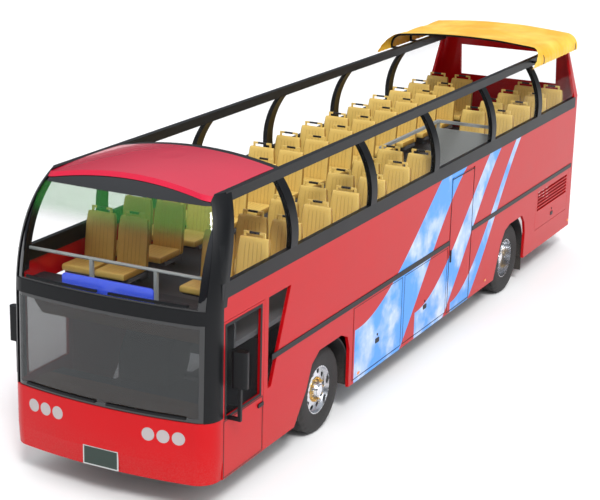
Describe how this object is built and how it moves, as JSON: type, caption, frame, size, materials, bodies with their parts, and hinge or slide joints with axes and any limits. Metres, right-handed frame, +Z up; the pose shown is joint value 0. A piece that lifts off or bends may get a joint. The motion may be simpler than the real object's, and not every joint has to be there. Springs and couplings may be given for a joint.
{
  "type": "open-top double-decker bus",
  "caption": "Open-top double-decker sightseeing bus with glazed front, yellow seats, rear canopy, steered front wheels, opening doors and flaps.",
  "frame": {"origin": "on the ground under the middle of the bus", "axes": "+X towards the front, +Y towards the bus's left side, +Z up"},
  "size_m": [11.9991, 2.96, 3.618],
  "materials": {
    "body_red": "gloss red paint",
    "roof_red": "gloss red paint with a magenta sheen",
    "black_trim": "satin black",
    "clear_glass": "clear",
    "dark_interior": "matt dark",
    "seat_vinyl": "moulded yellow",
    "seat_frame": "satin grey",
    "canopy_cloth": "coated yellow cloth",
    "floor_grey": "ribbed grey floor",
    "frame_black": "chassis black",
    "tyre": "black rubber",
    "rim_silver": "polished",
    "axle_steel": "painted casting",
    "lamp_glass": "clear lens",
    "plate": "blank dark green plate",
    "sign_blue": "blank blue sign",
    "rail_grey": "satin grey",
    "rubber_black": "black rubber",
    "engine_metal": "cast"
  },
  "bodies": {
    "coach_body": {"front_mask": "body_red", "side_left": "body_red", "side_right": "body_red", "rear_wall": "body_red", "rear_top": "body_red", "front_roof": "roof_red", "screen_band": "black_trim", "screen_posts": "black_trim", "lower_windscreen": "clear_glass", "upper_windscreen": "clear_glass", "rails": "black_trim", "side_posts": "black_trim", "side_strips": "black_trim", "passenger_door": "body_red", "side_glass": "clear_glass", "mirror_right": "black_trim", "rear_window": "clear_glass", "canopy": "canopy_cloth", "canopy_hoops": "black_trim", "underframe": "frame_black", "upper_floor": "floor_grey", "stairs": "floor_grey", "handrails": "rail_grey", "front_shelf": "dark_interior", "blank_sign": "sign_blue", "seat_cushions": "seat_vinyl", "seat_backs": "seat_vinyl", "seat_frames": "seat_frame", "seat_handles": "seat_vinyl", "dashboard": "dark_interior", "steering_wheel": "dark_interior", "driver_seat": "dark_interior", "lamps": "lamp_glass", "number_plates": "plate", "wipers": "black_trim", "wheel_liners": "rubber_black", "engine": "engine_metal", "front_axle": "axle_steel", "rear_axle": "axle_steel"},
    "driver_door": {"driver_door": "body_red", "driver_door_glass": "clear_glass", "mirror_left": "black_trim"},
    "mid_door": {"mid_door": "body_red"},
    "luggage_flap_a": {"luggage_flap_a": "body_red"},
    "luggage_flap_b": {"luggage_flap_b": "body_red"},
    "engine_flap": {"engine_flap": "body_red"},
    "engine_hatch": {"engine_hatch": "body_red"},
    "knuckle_left": {"knuckle_left": "axle_steel"},
    "knuckle_right": {"knuckle_right": "axle_steel"},
    "wheel_front_left": {"tyres_front_left": "tyre", "rim_front_left": "rim_silver"},
    "wheel_front_right": {"tyres_front_right": "tyre", "rim_front_right": "rim_silver"},
    "wheel_rear_left": {"tyres_rear_left": "tyre", "rim_rear_left": "rim_silver"},
    "wheel_rear_right": {"tyres_rear_right": "tyre", "rim_rear_right": "rim_silver"}
  },
  "joints": [
    {"name": "driver_door_swing", "type": "hinge", "parent": "coach_body", "child": "driver_door", "pos_m": [5.60015, 1.256, 1.2], "axis": [0, 0, -1], "range_deg": [0, 70]},
    {"name": "mid_door_swing", "type": "hinge", "parent": "coach_body", "child": "mid_door", "pos_m": [-1.33015, 1.256, 1.2], "axis": [0, 0, 1], "range_deg": [0, 85]},
    {"name": "luggage_flap_a_lift", "type": "hinge", "parent": "coach_body", "child": "luggage_flap_a", "pos_m": [0, 1.256, 1.35185], "axis": [1, 0, 0], "range_deg": [0, 80]},
    {"name": "luggage_flap_b_lift", "type": "hinge", "parent": "coach_body", "child": "luggage_flap_b", "pos_m": [0, 1.256, 1.35185], "axis": [1, 0, 0], "range_deg": [0, 80]},
    {"name": "engine_flap_lift", "type": "hinge", "parent": "coach_body", "child": "engine_flap", "pos_m": [0, 1.256, 1.35185], "axis": [1, 0, 0], "range_deg": [0, 80]},
    {"name": "engine_hatch_lift", "type": "hinge", "parent": "coach_body", "child": "engine_hatch", "pos_m": [-6.006, 0, 1.73985], "axis": [0, 1, 0], "range_deg": [0, 75]},
    {"name": "steer_left", "type": "hinge", "parent": "coach_body", "child": "knuckle_left", "pos_m": [3.15, 0.845, 0.522], "axis": [0, 0, 1], "range_deg": [-35, 35]},
    {"name": "steer_right", "type": "hinge", "parent": "coach_body", "child": "knuckle_right", "pos_m": [3.15, -0.845, 0.522], "axis": [0, 0, 1], "range_deg": [-35, 35]},
    {"name": "spin_front_left", "type": "hinge", "parent": "knuckle_left", "child": "wheel_front_left", "pos_m": [3.15, 1, 0.522], "axis": [0, 1, 0], "continuous": true},
    {"name": "spin_rear_left", "type": "hinge", "parent": "coach_body", "child": "wheel_rear_left", "pos_m": [-3, 1, 0.522], "axis": [0, 1, 0], "continuous": true},
    {"name": "spin_front_right", "type": "hinge", "parent": "knuckle_right", "child": "wheel_front_right", "pos_m": [3.15, -1, 0.522], "axis": [0, 1, 0], "continuous": true},
    {"name": "spin_rear_right", "type": "hinge", "parent": "coach_body", "child": "wheel_rear_right", "pos_m": [-3, -1, 0.522], "axis": [0, 1, 0], "continuous": true}
  ],
  "couplings": [
    {"joint": "steer_right", "follows": "steer_left", "ratio": 1}
  ]
}
